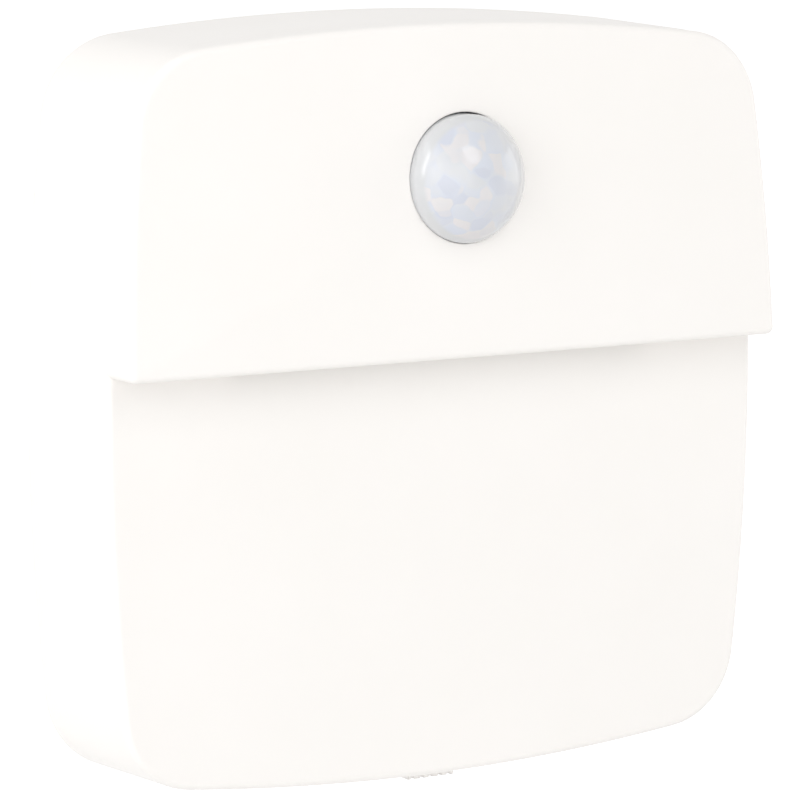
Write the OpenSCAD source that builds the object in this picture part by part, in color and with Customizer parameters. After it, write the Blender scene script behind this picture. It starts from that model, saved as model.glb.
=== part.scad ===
// Battery motion sensor light that hooks onto a small wall plate.
// The origin is the centre of the wall plate's back face, on the wall. X runs to the right as seen
// from the front, Z is up and the front faces -Y.
// Every piece is drawn lying down, with the wall as its X-Y plane: x to the right, y up the wall and
// z the depth in front of the wall. on_wall() and in_body() stand the pieces upright.

/* [Body] */
// Width and height of the body at the wall
body_w = 86; // [78:0.5:96]
// Radius of the bulged sides
side_r = 283; // [220:1:400]
// Radius of the body's corners
corner_r = 9.9; // [8:0.1:12]
// Thickness of the shell's side walls
wall = 1.8; // [1.4:0.1:2]
// Thickness of the shell's lower front wall
front_wall = 1.7; // [1.4:0.1:2.2]
// Inset of the side walls for each millimetre of depth
draft = 0.028; // [0:0.002:0.04]
// Rounding of the front edges
edge_r = 0.8; // [0.4:0.1:1.2]
// Rounding of the edge against the wall
back_r = 1.2; // [0.4:0.1:1.5]

/* [Hood] */
// Height of the hood's lip above the body's centre
lip_y = 5.4; // [4.5:0.05:6.5]
// How far the lip stands out in front of the lower face
lip_out = 5; // [4.8:0.1:7]
// Depth that the hood's face loses for each millimetre of height
hood_lean = 0.067; // [0.02:0.001:0.08]
// How far the hood's face stands out in its middle
hood_crown = 0.8; // [0:0.05:1.2]
// Thickness of the hood's face
hood_wall = 1.8; // [1.4:0.1:2]
// Thickness of the lip's floor
lip_wall = 1.8; // [1.4:0.1:2.2]

/* [Light window] */
// Length of the frosted window under the lip
window_w = 54; // [44:1:60]
// Depth of the window, front to back
window_d = 2.2; // [1.8:0.1:2.2]
// Thickness of the window's inner flange
window_flange_t = 0.6; // [0.5:0.1:1]
// How far the flange reaches past the slot at the front and the back
window_over = 0.5; // [0.4:0.05:0.5]

/* [Sensor] */
// How far the sensor lies below the body's top
sensor_drop = 17.6; // [17:0.1:19]
// Outer radius of the sensor lens dome
lens_r = 7.1; // [6.4:0.1:7.4]
// Thickness of the lens dome
lens_t = 0.6; // [0.5:0.05:0.9]
// Gap between the dome and its hole
lens_gap = 0.15; // [0.1:0.05:0.6]
// How far the dome's centre lies behind the hood's face
lens_set = 1.3; // [0:0.1:1.6]
// Radius of the lens flange
flange_r = 9; // [8.6:0.1:10]
// Thickness of the lens flange
flange_t = 0.8; // [0.6:0.1:1]
// Height of the seat ring that carries the flange
seat_h = 1; // [0.8:0.1:1.4]
// Gap between the sensor can and the main board
can_gap = 0.4; // [0.2:0.1:0.6]
// Radius of the sensor can
can_r = 4.1; // [3.8:0.1:4.4]
// Height of the sensor can
can_h = 4.2; // [3.6:0.1:4.4]
// Radius of the can's rim
can_rim_r = 4.6; // [4.5:0.05:4.9]
// Thickness of the can's rim
can_rim_t = 0.5; // [0.4:0.1:0.7]
// Width of the can's filter window
filter_w = 3.4; // [2.8:0.1:4]
// Height of the can's filter window
filter_h = 4.4; // [3.8:0.1:5]
// Thickness of the filter
filter_t = 0.5; // [0.4:0.1:0.7]
// Radius of a sensor lead
lead_r = 0.23; // [0.2:0.01:0.3]
// Distance of the sensor leads from the can's axis
lead_c = 2.54; // [2.2:0.02:3]

/* [Circuit boards] */
// Distance of the main board's ends from the body's sides
board_side = 14.5; // [14:0.5:18]
// Distance of the main board's upper edge from the body's top
board_top = 4.6; // [4.2:0.1:6]
// How far the main board's lower edge lies above the battery tray
board_up = 3.5; // [3:0.1:5]
// Thickness of the main board
board_t = 1.6; // [1:0.1:1.8]
// Gap between the main board and the lower front wall
board_gap = 0.6; // [0.4:0.1:1.2]
// Distance of the board's screws from its edges
board_inset = 4; // [3.5:0.1:5]
// How far the light strip's board reaches past the window at each end
strip_over = 3; // [1:0.5:4]
// Thickness of the light strip's board
strip_t = 1; // [0.8:0.1:1.6]
// Length of an LED
led_w = 3; // [2:0.1:3.5]
// Width of an LED
led_d = 1.4; // [1:0.1:1.6]
// Thickness of an LED
led_t = 0.8; // [0.6:0.1:1]
// Number of LEDs
led_count = 6; // [2:2:6]
// Gap between the LEDs and the window
led_gap = 1.2; // [0.8:0.1:2]
// Length of the light sensor between the LEDs
eye_w = 2; // [1.6:0.1:2.4]
// Length of the control chip
chip_w = 8.6; // [5:0.1:9.9]
// Width of the control chip
chip_h = 3.9; // [3:0.1:4]
// Thickness of the control chip
chip_t = 1.5; // [1:0.1:1.7]
// Distance between the control chip's legs
leg_pitch = 1.27; // [1.2:0.01:1.3]
// Length of the control chip's legs
leg_l = 1.1; // [0.8:0.1:1.3]
// Width of the legs of the chip and the transistors
leg_w = 0.4; // [0.3:0.05:0.5]
// Radius of the capacitor's can
can_side_r = 3.15; // [2:0.05:3.15]
// Length of the capacitor's can
can_side_l = 5.4; // [4:0.1:5.4]
// Width of the capacitor's square base
can_base_w = 6.6; // [4.3:0.1:6.6]
// Thickness of the capacitor's square base
can_base_t = 0.8; // [0.6:0.1:1]
// Length of a transistor
transistor_w = 2.9; // [2:0.1:3]
// Width of a transistor
transistor_h = 1.3; // [1.2:0.1:1.6]
// Thickness of a transistor
transistor_t = 1; // [0.9:0.1:1.1]
// Width of a chip resistor
resistor_w = 1.25; // [0.8:0.05:1.25]
// Length of a chip resistor
resistor_l = 2; // [1.6:0.1:2]
// Thickness of a chip resistor
resistor_t = 0.5; // [0.4:0.05:0.6]

/* [Cells] */
// Radius of a cell
cell_r = 5.25; // [4.9:0.05:5.3]
// Length of a cell with its button
cell_l = 44.5; // [43:0.1:45]
// Radius of a cell's button
button_r = 1.9; // [1.5:0.1:2.5]
// Length of a cell's button
button_l = 0.8; // [0.6:0.1:1.2]
// Gap between neighbouring cells
cell_gap = 0.4; // [0.3:0.1:1]
// Play between the cells and the walls round them
cell_play = 0.2; // [0.15:0.05:0.3]
// Thickness of the contact plates
contact_t = 0.4; // [0.3:0.05:0.6]
// Height of the dimple that meets a cell's button
dimple_h = 0.6; // [0.4:0.1:1]
// Side of a contact plate
contact_w = 8; // [6:0.1:9]
// Length of a battery spring between its plate and the cell
spring_l = 4; // [3.6:0.1:5]
// Radius of a battery spring at its plate
spring_r = 2.8; // [2.4:0.1:2.8]
// Radius of a battery spring at the cell
spring_tip_r = 1.7; // [1.4:0.1:1.8]
// Thickness of the spring wire
spring_wire = 0.5; // [0.4:0.05:0.6]
// Turns of a battery spring
spring_turns = 3; // [2:1:3]

/* [Rear cover] */
// How far the rear cover lies in from the wall
rim_in = 0.5; // [0.3:0.1:0.8]
// Thickness of the rear cover's plate
cover_t = 1.6; // [1.2:0.1:2]
// Gap between the rear cover and the shell
cover_gap = 0.2; // [0.1:0.05:0.4]
// Depth of the rib round the rear cover
rib_h = 2; // [1:0.1:3]
// Thickness of the tray's side walls
tray_wall = 1.2; // [1:0.1:1.4]
// Thickness of the tray's front wall
tray_floor = 1.1; // [0.9:0.1:1.4]
// Gap between the tray and the shell's bottom wall
tray_margin = 3; // [2.8:0.1:3.6]
// Width of the ledge round the tray
ledge_w = 1.35; // [1:0.05:1.5]
// Thickness of the ledge
ledge_t = 1.2; // [1:0.1:1.6]

/* [Battery door] */
// Thickness of the battery door
door_t = 1.4; // [1.2:0.1:1.8]
// Gap round the battery door
door_gap = 0.2; // [0.15:0.05:0.3]
// Width of each of the two hinge tabs
tab_w = 6; // [4:0.5:8]
// How far the hinge tabs reach past the hinge's centre
tab_reach = 2; // [1.7:0.1:2.1]
// Thickness of the hinge tabs
tab_t = 1; // [0.8:0.1:1.2]
// Width of the latch tongue
tongue_w = 10; // [8:0.5:14]
// Length of the latch tongue
tongue_l = 7; // [5:0.5:9]
// Width of the slits beside the tongue
slit_w = 0.8; // [0.5:0.1:1.2]

/* [Mode switch] */
// Width of the switch button
cap_w = 6; // [5.8:0.1:8]
// Depth of the switch button, front to back
cap_d = 2.6; // [2:0.1:2.8]
// Gap between the switch button and the front wall
cap_gap = 0.7; // [0.6:0.1:1]
// How far the button stands out below the body
cap_out = 0.7; // [0.6:0.1:2]
// Travel of the button to each side of its middle position
switch_travel = 2; // [1:0.1:2.5]
// Thickness of the button's inner flange
cap_flange_t = 0.8; // [0.6:0.1:0.9]
// Width of the switch housing
switch_w = 9.2; // [8.6:0.1:11]
// Height of the switch housing
switch_h = 3.4; // [3:0.1:4]
// Thickness of the switch housing
switch_t = 1.5; // [1.3:0.1:2]
// Thickness of the switch's board
switch_board_t = 0.8; // [0.6:0.1:1.2]
// Width of the switch's board
switch_board_w = 22; // [20:0.5:30]
// Height of the switch's board
switch_board_h = 7; // [6:0.1:9]

/* [Wall plate] */
// Distance of the wall plate's ends from the body's sides
plate_side = 16; // [16:0.5:19]
// Distance of the wall plate's upper edge from the body's top
plate_top = 7.45; // [7.45:0.05:8.5]
// Thickness of the wall plate
plate_t = 2; // [1.8:0.1:2.4]
// Radius of the wall plate's corners
plate_r = 4; // [2:0.5:8]
// Distance between the two screw holes
hole_spacing = 36; // [32:1:38]
// Radius of the screw holes
hole_r = 2.1; // [1.6:0.05:2.2]
// Radius of the countersinks
sink_r = 3.9; // [3.4:0.1:4.2]
// Depth of the countersinks
sink_h = 1.2; // [0.8:0.1:1.4]
// How far the light lifts off the hooks
lift = 3.3; // [3.2:0.1:4]
// Width of a hook
hook_w = 8; // [5:0.5:9]
// Height of a hook's neck
neck_h = 2.4; // [1.8:0.1:2.6]
// How far a hook's lip stands up above its neck
hook_up = 2.8; // [2:0.1:2.9]
// Thickness of a hook's lip
hook_t = 1.5; // [1.2:0.1:2]
// Distance of the hooks from the plate's centre line
hook_x = 14; // [10:0.5:18]
// Length of an adhesive pad
pad_w = 44; // [30:1:48]
// Height of an adhesive pad
pad_h = 7; // [4:0.5:7]
// Thickness of an adhesive pad
pad_t = 0.8; // [0.5:0.1:1]

/* [Screws] */
// Radius of the case screws
case_screw_r = 1.1; // [0.9:0.05:1.3]
// Length of the case screws under the head
case_screw_l = 9; // [6:0.5:10]
// Radius of the case screw heads
case_head_r = 2; // [1.7:0.05:2.2]
// Height of the case screw heads
case_head_h = 1.3; // [1:0.1:1.6]
// Radius of the board screws
board_screw_r = 0.85; // [0.7:0.05:1]
// Length of the board screws under the head
board_screw_l = 4.6; // [3.6:0.1:5]
// Radius of the board screw heads
board_head_r = 1.7; // [1.4:0.05:2]
// Height of the board screw heads
board_head_h = 1.1; // [0.8:0.1:1.4]
// Radius of the case screw posts
post_r = 2.75; // [2.4:0.05:3]
// Radius of the board screw posts
board_post_r = 2; // [1.8:0.05:2.4]
// Gap between a screw and the sides of its hole
screw_play = 0.1; // [0.08:0.01:0.2]

/* [Leads] */
// Thickness of the leads with their insulation
lead_d = 0.8; // [0.6:0.05:0.9]

/* [Hidden] */
// Small overlap that makes two shapes of one piece join
bite = 0.5;
// Clearance between parts that slide or are dropped into place
play = 0.1;
// Hair gap between a wire and what it presses on, and between walls that run together
hair = 0.02;
// Gap between inner pieces that face each other but don't touch
clear = 0.2;
// Number of steps in each arc of the outline and of the rounded edges, and of rings across the hood's face
side_steps = 6;
corner_steps = 10;
edge_steps = 4;
face_steps = 5;

// The side arcs' centre lies on an axis, and the corner arcs' centres lie on the diagonals
side_c = body_w / 2 - side_r;
corner_c = (side_c + sqrt(2 * pow(side_r - corner_r, 2) - pow(side_c, 2))) / 2;
side_a = atan2(corner_c, corner_c - side_c);
lip_corner = edge_r + play;
hood_mid = (lip_y + body_w / 2) / 2;

// Height of the sensor above the body's centre
sensor_y = body_w / 2 - sensor_drop;

// Depths, from the wall forwards
door_in = rim_in + door_t;
ledge_z = door_in + play;
cell_z = ledge_z + cell_play + cell_r;
tray_in = cell_z + cell_r + cell_play;
tray_front = tray_in + tray_floor;
switch_back = tray_front + 1.5 * clear;
switch_z = switch_back + switch_board_t;
face_in = switch_z + switch_t + clear;
face_depth = face_in + front_wall;
board_front = face_in - board_gap;
board_back = board_front - board_t;
cap_z = face_in - cap_gap - cap_d / 2;

// The tray's size, from its three cells, their contacts and their springs
pitch = 2 * cell_r + cell_gap;
tray_h = 3 * 2 * cell_r + 2 * cell_gap + 2 * cell_play;
tray_w = cell_l + spring_l + dimple_h + 2 * contact_t;
tray_y = -(body_w / 2 - wall - tray_margin) + tray_wall + tray_h / 2;
tray_top = tray_y + tray_h / 2 + tray_wall;

// The battery door rests on the ends of the tray's walls
door_over = tray_wall - door_gap;
door_w = tray_w + 2 * door_over;
door_h = tray_h + 2 * door_over;
hinge_x = -door_w / 2 + door_t / 2;
hinge_z = rim_in + door_t / 2;
tab_z = rim_in + cover_t + clear;
sweep_z = hinge_z + norm([tab_reach, tab_z + tab_t - hinge_z]);
contact_back = sweep_z + clear;
tail_w = 2;
tail_l = 1.2;
finger_r = 5;
finger_floor = 0.7;
ridge_pitch = 1.5;
ridge_w = 0.6;
ridge_h = 0.3;

// The wall plate lies in a recess above the tray
recess_gap = 0.5;
recess_z = plate_t + recess_gap;
recess_wall = 1.2;
recess_floor = 1.6;
recess_off = 0.3;
recess_low = tray_top + ledge_w + recess_off + recess_wall;
plate_w = body_w - 2 * plate_side;
plate_h = body_w / 2 - plate_top - recess_low - lift - recess_gap;
plate_y = body_w / 2 - plate_top - plate_h / 2;
recess_high = plate_y + plate_h / 2 + recess_gap;
recess_w = plate_w + 2 * recess_gap;
hook_clear = 0.3;
hook_z = recess_z + recess_floor + hook_clear;
slot_h = lift + neck_h + hook_clear;
hook_side = 0.4;
hook_edge = 3;
plate_rim = 1.2;
hook_tops = [plate_h / 2 - hook_up - hook_edge, -sink_r - hook_up - plate_rim];
tape_y = plate_h / 2 - pad_h / 2 - plate_rim;

// Screw places
head_play = 0.3;
head_deep = 1.4;
cup_wall = 1.1;
cup_r = case_head_r + head_play + cup_wall;
cup_floor = 1.2;
cup_bite = 0.5;
rib_w = 1;
cover_inset = wall + cover_gap + draft * (rim_in + cover_t + rib_h);
corner_room = cover_inset + rib_w - cup_bite + cup_r;
post_c = corner_c + (corner_r - corner_room) / sqrt(2);
case_web = corner_room - post_r + bite - 0.7 * wall;
seat_z = rim_in + head_deep + case_head_h;
board_w = body_w - 2 * board_side;
board_h = body_w / 2 - board_top - tray_top - board_up;
board_y = body_w / 2 - board_top - board_h / 2;
board_hole_x = board_w / 2 - board_inset;

// The light window, its LEDs and their board
window_mid = face_depth + lip_out - hood_wall - clear - window_over - window_d / 2;
led_pitch = window_w / led_count;
led_y = lip_y + lip_wall + window_flange_t + led_gap;
strip_y = led_y + led_t;
strip_rim = 0.4;
strip_d = window_mid + led_d / 2 + strip_rim - board_front;
post_off = 1.3;
board_hole_ys = [board_y + board_h / 2 - board_inset, strip_y + strip_t + post_off + board_post_r];

// The lens and the sensor behind it
lens_hole_r = lens_r + lens_gap;
lens_z = hood_depth(sensor_y) - lens_set;
seat_ring_z = hood_depth(sensor_y) - hood_wall - seat_h;
flange_z = seat_ring_z - flange_t;
can_z = board_front + can_gap;
can_top = can_z + can_rim_t + can_h;
filter_z = can_top - filter_t;
key_w = 0.9;
key_l = 0.8;
lead_turns = [0, 90, 180];
lead_out = 1.2;
seat_wall = 1.4;

// The mode switch
cap_y = -(body_w / 2 - draft * cap_z);
cap_flange_y = cap_y + wall + 1.5 * clear;
switch_y = cap_flange_y + cap_flange_t + clear;
slot_play = 0.3;
slot_w = cap_w + 2 * switch_travel + 2 * slot_play;
stake_x = switch_board_w / 2 - 2;
stake_y = switch_y + switch_board_h / 2;
stem_w = 1.3;
stem_d = 0.9;
slider_w = 2.6;
slider_h = 1.3;
housing_rim = 0.4;
rib_pitch = 1.2;
rib_gap = 0.5;
stake_r = 0.6;

// Wire of a battery spring, from its plate to the cell, and its least gap to itself half a turn on
spring_rings = 8;
spring_rise = spring_l - spring_wire - 2 * hair;
function spring_points() = let (n = spring_rings * spring_turns)
    [for (i = [0 : n]) let (f = i / n,
        a = 360 * i / spring_rings,
        r = spring_r + (spring_tip_r - spring_r) * f)
        [hair + spring_wire / 2 + spring_rise * f, r * cos(a), r * sin(a)]];
spring_gap = let (p = spring_points(), n = len(p) - 1)
    min([for (i = [0 : n]) for (j = [i + spring_rings / 2 : 1 : n]) norm(p[i] - p[j])]) - spring_wire;
echo(spring_gap = spring_gap);

// Routes of the leads inside the body. They run in front of the tray and end on the main board's back.
lead_z = (tray_front + face_in) / 2;
pad_y = board_y - board_h / 2 + 3 * lead_d;
tail_z = tray_front + lead_d / 2 + play;
tail_x = tray_w / 2 - contact_t;
switch_top = switch_y + switch_board_h;
function bends(from, steps) = [for (step = steps) from + lead_d * step];
function route_to_board(x) = concat(
    [[x, tray_top - 2 * lead_d, lead_z], [x, tray_top + 1.5 * lead_d, tray_front]],
    bends([x, pad_y, board_back], [[0, -2.5, -2.25], [0, -0.75, -2.1], [0, 0, -1], [0, 0, 0]]));
red_route = concat(
    bends([tail_x, tray_y + pitch, tail_z], [[0, 0, 0], [-0.6, 0, 0], [-2.5, 0.75, 0.4]]),
    bends([tail_x, tray_y + pitch, lead_z], [[-3.75, 3, 0]]),
    route_to_board(tail_x - 4 * lead_d));
black_route = concat(
    bends([-tail_x, tray_y - pitch, tail_z], [[0, 0, 0], [0.6, 0, 0], [2.5, 0.75, 0.4]]),
    bends([-tail_x, tray_y - pitch, lead_z], [[3.75, 3, 0]]),
    bends([-tail_x, tray_y, lead_z], [[3, -2.5, 0], [3.75, 10, 0]]),
    route_to_board(-tail_x + 4 * lead_d));
function switch_route(x) = concat(
    bends([x, switch_top, switch_z], [[0, -2.25, 0], [0, -2.25, 0.4], [0, -1.6, 1], [0, 0, 1.1]]),
    bends([x, switch_top, lead_z], [[0, 3.75, 0]]),
    bends([0.8 * x, tray_y, lead_z], [[0, -5, 0], [0, 7.5, 0]]),
    route_to_board(x));

$fn = 48;

// Depth of the hood's leaning, crowned face at a height above the body's centre, x to the side
function hood_depth(y, x = 0) = face_depth + lip_out - hood_lean * (y - lip_y)
    + hood_crown * (1 - pow(2 * x / body_w, 2));
function dir(a) = [cos(a), sin(a)];
function turn(p, a) = [p[0] * cos(a) - p[1] * sin(a), p[0] * sin(a) + p[1] * cos(a)];

// Points of an arc without its last point, so that arcs can follow each other
function arc(c, r, from, to, steps) =
    [for (i = [0 : steps - 1]) c + r * dir(from + (to - from) * i / steps)];

// One side arc and the corner arc after it, drawn in from the body's edge by inset
function quarter(inset) = concat(
    arc([side_c, 0], side_r - inset, -side_a, side_a, side_steps),
    arc([corner_c, corner_c], corner_r - inset, side_a, 90 - side_a, corner_steps));

// The body's outline, seen from the front
function outline(inset) = [for (a = [0 : 90 : 270]) for (p = quarter(inset)) turn(p, a)];

// The outline's part above a floor, with rounded lower corners. Its sides keep the outline's points.
function hood_outline(inset, floor, r) =
    let (side = side_r - inset,
        y = floor + r,
        x = side_c + sqrt(side * side - y * y))
    concat(
        arc([x - r, y], r, -90, 0, edge_steps),
        [[x, y]],
        [for (p = outline(inset)) if (p[1] > y + bite) p],
        arc([r - x, y], r, 180, 270, edge_steps),
        [[r - x, floor]]);

// A ring of points lifted to a flat depth, or to a distance behind the hood's face
function flat_ring(points, z) = [for (p = points) [p[0], p[1], z]];
function lean_ring(points, behind) = [for (p = points) [p[0], p[1], hood_depth(p[1], p[0]) - behind]];

// The rings that a ring becomes as it shrinks towards the middle of the hood's face
function face_rings(points, behind) =
    [for (i = [1 : face_steps]) let (share = 1 - i / (face_steps + 0.5))
        lean_ring([for (p = points) [share * p[0], hood_mid + share * (p[1] - hood_mid)]], behind)];

// A closed solid over rings of equally many points, from the lowest ring to the highest
module loft(rings) {
    n = len(rings[0]);
    top = n * (len(rings) - 1);
    sides = [for (j = [0 : len(rings) - 2]) for (i = [0 : n - 1]) let (k = (i + 1) % n)
        [[j * n + n + i, j * n + n + k, j * n + k], [j * n + n + i, j * n + k, j * n + i]]];
    polyhedron(
        points = [for (ring = rings) each ring],
        faces = concat([[for (i = [0 : n - 1]) i]], [for (pair = sides) each pair],
            [[for (i = [n - 1 : -1 : 0]) top + i]]));
}

// Stands pieces upright: on the wall with the wall plate, or with the body whose centre is lower
module on_wall() rotate([90, 0, 0]) children();
module in_body() translate([0, 0, -plate_y]) rotate([90, 0, 0]) children();

// Centred box between two depths
module slab(w, h, from, to) translate([-w / 2, -h / 2, from]) cube([w, h, to - from]);

// Rod between two depths
module rod(r, from, to) translate([0, 0, from]) cylinder(r = r, h = to - from);

// Rectangle with round corners
module rounded(w, h, r) {
    square([w - 2 * r, h], center = true);
    square([w, h - 2 * r], center = true);
    for (x = [-1, 1], y = [-1, 1]) translate([x * (w / 2 - r), y * (h / 2 - r)]) circle(r);
}

// Smooth curve through hand-placed points, in three steps from each to the next, with straight ends
function spline(p, a, b, c, t) = 0.5 * (2 * a + (b - p) * t + (2 * p - 5 * a + 4 * b - c) * t * t
    + (3 * a - p - 3 * b + c) * t * t * t);
function smooth(route) = let (n = len(route) - 1) concat(
    [route[0]],
    [for (i = [1 : n - 2], step = [0 : 2])
        spline(route[i - 1], route[i], route[i + 1], route[i + 2], step / 3)],
    [route[n - 1], route[n]]);
function unit(v) = v / norm(v);

// Round wire along a row of points. Each ring is square to the wire there.
module wire(points, r, sides) {
    n = len(points);
    rings = [for (i = [0 : n - 1])
        let (along = unit(points[min(i + 1, n - 1)] - points[max(i - 1, 0)]),
            side = unit(cross(along, abs(along[0]) < 0.8 ? [1, 0, 0] : [0, 1, 0])),
            up = cross(along, side))
        [for (k = [0 : sides - 1]) let (d = dir(360 * k / sides)) points[i] + r * (d[0] * side + d[1] * up)]];
    loft(rings);
}

// Outer skin of the shell: the body with its rounded edges, and the hood in front of its upper half
module skin() {
    steps = [for (i = [0 : edge_steps]) 90 * i / edge_steps];
    inset = draft * face_depth;
    hood_inset = draft * hood_depth(sensor_y, body_w / 2) + hair;
    loft(concat(
        [for (a = steps) flat_ring(outline(back_r * (1 - sin(a))), back_r * (1 - cos(a)))],
        [for (a = steps) flat_ring(outline(inset + edge_r * (1 - cos(a))),
            face_depth - edge_r * (1 - sin(a)))]));
    loft(concat(
        [flat_ring(hood_outline(inset + hair, lip_y, lip_corner), face_in)],
        [for (a = steps) let (e = edge_r * (1 - cos(a)))
            lean_ring(hood_outline(hood_inset + e, lip_y + e, lip_corner - e), edge_r * (1 - sin(a)))],
        face_rings(hood_outline(hood_inset + edge_r, lip_y + edge_r, lip_corner - edge_r), 0)));
}

// Hollow of the shell, open at the wall
module hollow() {
    loft([flat_ring(outline(wall), -1), flat_ring(outline(wall + draft * face_in), face_in)]);
    inset = wall + draft * hood_depth(sensor_y, body_w / 2) + hair;
    points = hood_outline(inset, lip_y + lip_wall, 0.3);
    loft(concat([flat_ring(points, face_in - 1), lean_ring(points, hood_wall)],
        face_rings(points, hood_wall)));
}

// Screw post with a pilot hole at its back end and a tapered web towards one side
module post(r, from, to, pilot_r, pilot_l, web_l, web_a) {
    web_t = 1;
    difference() {
        rod(r, from, to);
        rod(pilot_r, from - 1, from + pilot_l);
    }
    rotate([0, 0, web_a]) translate([r - bite, -web_t / 2, 0]) hull() {
        translate([0, 0, from + web_t]) cube([bite / 2, web_t, to - from - web_t]);
        translate([0, 0, to - web_t]) cube([web_l, web_t, web_t]);
    }
}

module front_shell() color("#f7f4ee") in_body() {
    difference() {
        skin();
        hollow();
        translate([0, sensor_y, 0]) rod(lens_hole_r, face_in, hood_depth(0) + 1, $fn = 64);
        translate([0, lip_y + lip_wall / 2, window_mid])
            cube([window_w + 2 * play, 2 * lip_wall, window_d + 2 * play], center = true);
        translate([0, cap_y, cap_z]) cube([slot_w, 4 * wall, cap_d + 2 * play], center = true);
    }
    // Seat ring of the lens, kept behind the leaning face
    intersection() {
        skin();
        translate([0, sensor_y, 0]) difference() {
            seat_r = lens_hole_r + seat_wall;
            rod(seat_r, seat_ring_z, hood_depth(sensor_y - seat_r) - hood_wall + bite, $fn = 64);
            rod(lens_hole_r, face_in, hood_depth(0), $fn = 64);
        }
    }
    // Posts of the four case screws
    for (x = [-1, 1]) {
        translate([x * post_c, post_c, 0])
            post(post_r, seat_z + cup_floor, hood_depth(post_c, post_c) - hood_wall + bite,
                case_screw_r + screw_play, case_screw_l + 1, case_web, x > 0 ? 45 : 135, $fn = 24);
        translate([x * post_c, -post_c, 0])
            post(post_r, seat_z + cup_floor, face_in + bite,
                case_screw_r + screw_play, case_screw_l + 1, case_web, x > 0 ? -45 : -135, $fn = 24);
    }
    // Posts of the four board screws
    for (x = [-1, 1], y = board_hole_ys) translate([x * board_hole_x, y, 0])
        post(board_post_r, board_front, hood_depth(y, board_hole_x) - hood_wall + bite,
            board_screw_r + screw_play, board_screw_l - board_t + bite, 2.4, x > 0 ? 180 : 0, $fn = 24);
    // Posts and stakes of the switch board
    for (x = [-1, 1]) translate([x * stake_x, stake_y, 0]) {
        rod(2 * stake_r, switch_z, face_in + bite, $fn = 24);
        rod(stake_r, switch_back, switch_z + bite, $fn = 24);
    }
}

// Frosted strip that fills the slot in the lip's floor, with a flange inside the hood
module light_window() color("#f2f1ea") in_body() {
    ends = 1;
    translate([-window_w / 2, lip_y + play, window_mid - window_d / 2])
        cube([window_w, lip_wall - play + bite, window_d]);
    translate([-window_w / 2 - ends, lip_y + lip_wall + hair, window_mid - window_d / 2 - window_over])
        cube([window_w + 2 * ends, window_flange_t, window_d + 2 * window_over]);
}

// Milky dome with a flange behind the hood's face
module sensor_lens() color("#e4e6ef") in_body() translate([0, sensor_y, 0]) rotate_extrude($fn = 96) {
    translate([0, lens_z]) intersection() {
        difference() {
            circle(lens_r);
            circle(lens_r - lens_t);
        }
        square(lens_r + 1);
    }
    translate([lens_r - lens_t, flange_z]) square([lens_t, lens_z - flange_z]);
    translate([lens_r - lens_t, flange_z]) square([flange_r - lens_r + lens_t, flange_t]);
}

// Ring that holds the lens flange against its seat
module lens_spacer() color("#d9d7d0") in_body() translate([0, sensor_y, 0]) difference() {
    rod(flange_r - 2 * clear, board_front, flange_z);
    rod(lens_r - lens_t - clear, board_front - 1, flange_z + 1);
}

module pir_sensor() color("#c3c6c9") in_body() translate([0, sensor_y, 0]) {
    difference() {
        rotate_extrude() polygon([[0, can_z], [can_rim_r, can_z], [can_rim_r, can_z + can_rim_t],
            [can_r, can_z + can_rim_t], [can_r, can_top], [0, can_top]]);
        slab(filter_w + 2 * play, filter_h + 2 * play, filter_z, can_top + 1);
    }
    // Index tab on the can's rim
    rotate([0, 0, 45]) translate([can_rim_r - bite, -key_w / 2, can_z + play])
        cube([bite + key_l, key_w, can_rim_t - 2 * play]);
    for (a = lead_turns) rotate([0, 0, a]) translate([lead_c, 0, 0])
        rod(lead_r, board_back - lead_out, can_z + bite / 2);
}

module pir_filter() color("#4a4550") in_body() translate([0, sensor_y, 0])
    slab(filter_w, filter_h, filter_z, can_top);

module main_board() color("#2f6b45") in_body() difference() {
    translate([0, board_y, board_back]) linear_extrude(board_t) rounded(board_w, board_h, 1.5);
    for (x = [-1, 1], y = board_hole_ys) translate([x * board_hole_x, y, 0])
        rod(board_screw_r + clear, board_back - 1, board_front + 1);
    for (a = lead_turns) translate([0, sensor_y, 0]) rotate([0, 0, a]) translate([lead_c, 0, 0])
        rod(lead_r + play, board_back - 1, board_front + 1);
}

// Board of the LEDs, soldered square to the main board above the window
module light_strip_board() color("#2f6b45") in_body()
    translate([-window_w / 2 - strip_over, strip_y, board_front])
        cube([window_w + 2 * strip_over, strip_t, strip_d]);

module leds() color("#f3e9a8") in_body() for (i = [0 : led_count - 1])
    translate([(i - (led_count - 1) / 2) * led_pitch, led_y + led_t / 2, window_mid])
        cube([led_w, led_t, led_d], center = true);

// Phototransistor between the middle LEDs, which keeps the light off by day
module light_sensor() color("#3b3a40") in_body()
    translate([0, strip_y - led_t / 2, window_mid]) cube([eye_w, led_t, led_d], center = true);

// Places on the main board's back are shares of the board's width and height, from its centre
module on_board_back(x, y) in_body() translate([x * board_w, board_y + y * board_h, board_back]) children();

module control_chip() color("#26272b") on_board_back(-0.19, -0.1) {
    leg_t = leg_w / 2;
    slab(chip_w, chip_h, -chip_t - play, -play);
    for (i = [-3 : 3], y = [-1, 1]) translate([i * leg_pitch, y * (chip_h / 2 + leg_l / 2 - play), 0]) {
        slab(leg_w, leg_l, -leg_t, 0);
        translate([0, -y * (leg_l - leg_w) / 2, 0]) slab(leg_w, leg_w, -0.6 * chip_t, 0);
    }
}

module capacitor() color("#8f949b") on_board_back(0.21, -0.24) {
    bevel = can_side_r / 10;
    slab(can_base_w, can_base_w, -can_base_t, 0);
    rod(can_side_r, -can_side_l, -can_base_t / 2);
    translate([0, 0, -can_side_l - bevel])
        cylinder(r1 = can_side_r - bevel, r2 = can_side_r, h = bevel + hair);
}

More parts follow.
